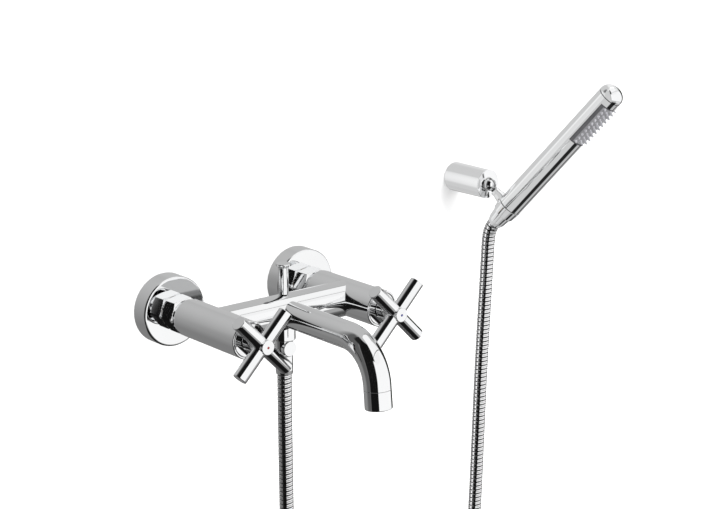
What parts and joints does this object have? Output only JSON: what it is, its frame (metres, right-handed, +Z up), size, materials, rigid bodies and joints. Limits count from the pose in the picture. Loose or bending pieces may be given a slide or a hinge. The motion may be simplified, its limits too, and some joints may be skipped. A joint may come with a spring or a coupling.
{
  "type": "wall mounted bath faucet",
  "caption": "Wall mounted bath mixer with cross handles, a bent spout, a lift diverter and a stick hand shower on a swivelling wall holder, joined by a ribbed hose.",
  "frame": {"origin": "on the wall plane, midway between the water inlets, which are 150 mm apart", "axes": "+Y into the wall, +Z up, +X towards the cold side and the hand shower; the room is on the -Y side"},
  "size_m": [0.45, 0.2427, 0.7661],
  "materials": {
    "chrome": "polished chrome plate on brass",
    "brass": "machined brass",
    "steel": "plain stainless steel",
    "rubber": "black rubber",
    "ceramic": "lapped white ceramic",
    "grey_plastic": "satin grey plastic with soft nozzles",
    "white_plastic": "moulded white plastic",
    "hose": "bright ribbed spiral over a soft liner"
  },
  "bodies": {
    "mixer": {"aerator_housing": "chrome", "aerator_insert": "white_plastic", "ball_socket": "white_plastic", "check_valve": "white_plastic", "cold_bonnet": "chrome", "cold_eccentric_union": "brass", "cold_fixed_disc": "ceramic", "cold_inlet_washer": "rubber", "cold_union_nut": "chrome", "cold_valve_body": "brass", "cold_valve_seal": "rubber", "cold_wall_flange": "chrome", "diverter_bush": "brass", "diverter_spring": "steel", "holder_boss": "brass", "holder_screw": "steel", "holder_sleeve": "chrome", "hose_nut": "chrome", "hose_swing_length": "hose", "hose_washer": "rubber", "hot_bonnet": "chrome", "hot_eccentric_union": "brass", "hot_fixed_disc": "ceramic", "hot_inlet_washer": "rubber", "hot_union_nut": "chrome", "hot_valve_body": "brass", "hot_valve_seal": "rubber", "hot_wall_flange": "chrome", "mixer_body": "chrome", "outlet_body": "chrome", "outlet_plug": "chrome", "shower_hose": "hose", "spout_nipple": "brass", "spout_tube": "chrome"},
    "hot_handle": {"hot_cross_handle": "chrome", "hot_spindle": "brass", "hot_moving_disc": "ceramic", "hot_handle_screw": "steel", "hot_index_cap": "chrome"},
    "cold_handle": {"cold_cross_handle": "chrome", "cold_spindle": "brass", "cold_moving_disc": "ceramic", "cold_handle_screw": "steel", "cold_index_cap": "chrome"},
    "diverter": {"diverter_knob": "chrome", "diverter_rod": "brass", "diverter_piston": "rubber"},
    "swivel": {"swivel_ball": "chrome", "tilt_pin": "steel", "hose_tilt_length": "hose"},
    "arm": {"holder_arm": "chrome", "hose_end_length": "hose"},
    "hose_end": {"hose_ferrule": "brass"},
    "handset": {"cone_nut": "chrome", "cone_washer": "rubber", "handset_connector": "white_plastic", "handset_tube": "chrome", "handset_end_cap": "chrome", "spray_plate": "grey_plastic"}
  },
  "joints": [
    {"name": "hot_handle_turn", "type": "hinge", "parent": "mixer", "child": "hot_handle", "pos_m": [-0.075, -0.1498, 0], "axis": [0, -1, 0], "range_deg": [0, 90]},
    {"name": "cold_handle_turn", "type": "hinge", "parent": "mixer", "child": "cold_handle", "pos_m": [0.075, -0.1498, 0], "axis": [0, 1, 0], "range_deg": [0, 90]},
    {"name": "diverter_lift", "type": "slide", "parent": "mixer", "child": "diverter", "axis": [0, 0, 1], "range_m": [0, 0.01], "stiffness_N_per_m": 200, "springref_m": -0.01, "deforming": ["diverter_spring"]},
    {"name": "holder_swing", "type": "hinge", "parent": "mixer", "child": "swivel", "pos_m": [0.2832, -0.0515, 0.0716], "axis": [0, 0, 1], "range_deg": [-62, 18], "deforming": ["hose_swing_length"]},
    {"name": "holder_tilt", "type": "hinge", "parent": "swivel", "child": "arm", "pos_m": [0.2832, -0.0515, 0.0716], "axis": [-0.9265, -0.3762, 0], "range_deg": [-15, 15], "deforming": ["hose_tilt_length"]},
    {"name": "handset_lift", "type": "slide", "parent": "arm", "child": "hose_end", "axis": [0.2443, -0.6017, 0.7604], "range_m": [0, 0.03], "deforming": ["hose_end_length"]},
    {"name": "handset_spin", "type": "hinge", "parent": "hose_end", "child": "handset", "pos_m": [0.29193, -0.073, 0.0532], "axis": [0.2443, -0.6017, 0.7604], "continuous": true}
  ]
}
